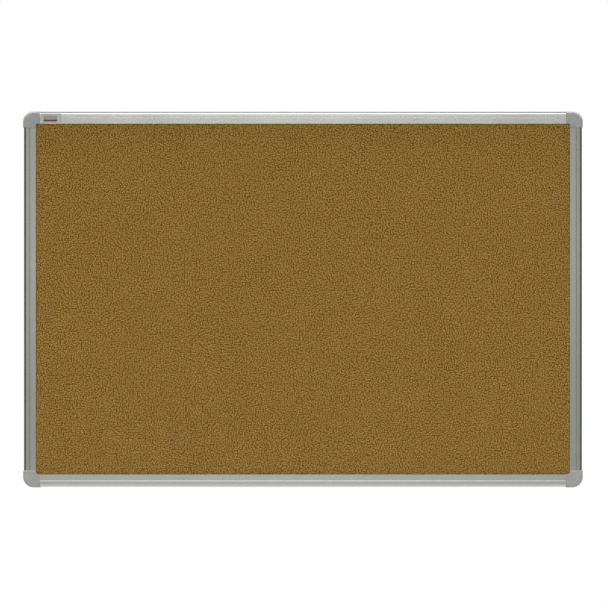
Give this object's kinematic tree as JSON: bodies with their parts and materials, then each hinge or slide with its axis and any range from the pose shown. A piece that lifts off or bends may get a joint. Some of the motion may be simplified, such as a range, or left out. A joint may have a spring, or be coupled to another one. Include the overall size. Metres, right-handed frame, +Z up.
{
  "type": "cork bulletin board",
  "caption": "Wall-hung landscape cork bulletin board in a satin aluminium frame, with rounded grey plastic corner caps that pull off to reach the wall screws.",
  "frame": {"origin": "centre of the board in the wall plane, behind the panel", "axes": "+X along the board's width to the viewer's right, +Y into the wall, +Z up; the board faces -Y"},
  "size_m": [0.902, 0.023, 0.607],
  "materials": {
    "cork": "matt agglomerated cork of fine granules",
    "softboard": "raw soft wood-fibre board",
    "hardboard": "raw hardboard, screen side out",
    "anodised_aluminium": "satin anodised, with fine lines along the extrusion",
    "cap_plastic": "satin moulded, grey",
    "connector_plastic": "moulded, black",
    "zinc_plated_steel": "bright zinc plate",
    "label_film": "satin printed film"
  },
  "bodies": {
    "board": {"cork_sheet": "cork", "softboard_core": "softboard", "hardboard_back": "hardboard", "rail_top": "anodised_aluminium", "rail_right": "anodised_aluminium", "rail_bottom": "anodised_aluminium", "rail_left": "anodised_aluminium", "corner_connector_top_left": "connector_plastic", "corner_connector_top_right": "connector_plastic", "corner_connector_bottom_right": "connector_plastic", "corner_connector_bottom_left": "connector_plastic", "rail_screw_top_left_1": "zinc_plated_steel", "rail_screw_top_left_2": "zinc_plated_steel", "rail_screw_top_right_1": "zinc_plated_steel", "rail_screw_top_right_2": "zinc_plated_steel", "rail_screw_bottom_right_1": "zinc_plated_steel", "rail_screw_bottom_right_2": "zinc_plated_steel", "rail_screw_bottom_left_1": "zinc_plated_steel", "rail_screw_bottom_left_2": "zinc_plated_steel", "name_label": "label_film"},
    "cap_top_left": {"corner_cap_top_left": "cap_plastic"},
    "cap_top_right": {"corner_cap_top_right": "cap_plastic"},
    "cap_bottom_right": {"corner_cap_bottom_right": "cap_plastic"},
    "cap_bottom_left": {"corner_cap_bottom_left": "cap_plastic"}
  },
  "joints": [
    {"name": "cap_top_left_pull", "type": "slide", "parent": "board", "child": "cap_top_left", "axis": [0, -1, 0], "range_m": [0, 0.03]},
    {"name": "cap_top_right_pull", "type": "slide", "parent": "board", "child": "cap_top_right", "axis": [0, -1, 0], "range_m": [0, 0.03]},
    {"name": "cap_bottom_right_pull", "type": "slide", "parent": "board", "child": "cap_bottom_right", "axis": [0, -1, 0], "range_m": [0, 0.03]},
    {"name": "cap_bottom_left_pull", "type": "slide", "parent": "board", "child": "cap_bottom_left", "axis": [0, -1, 0], "range_m": [0, 0.03]}
  ]
}
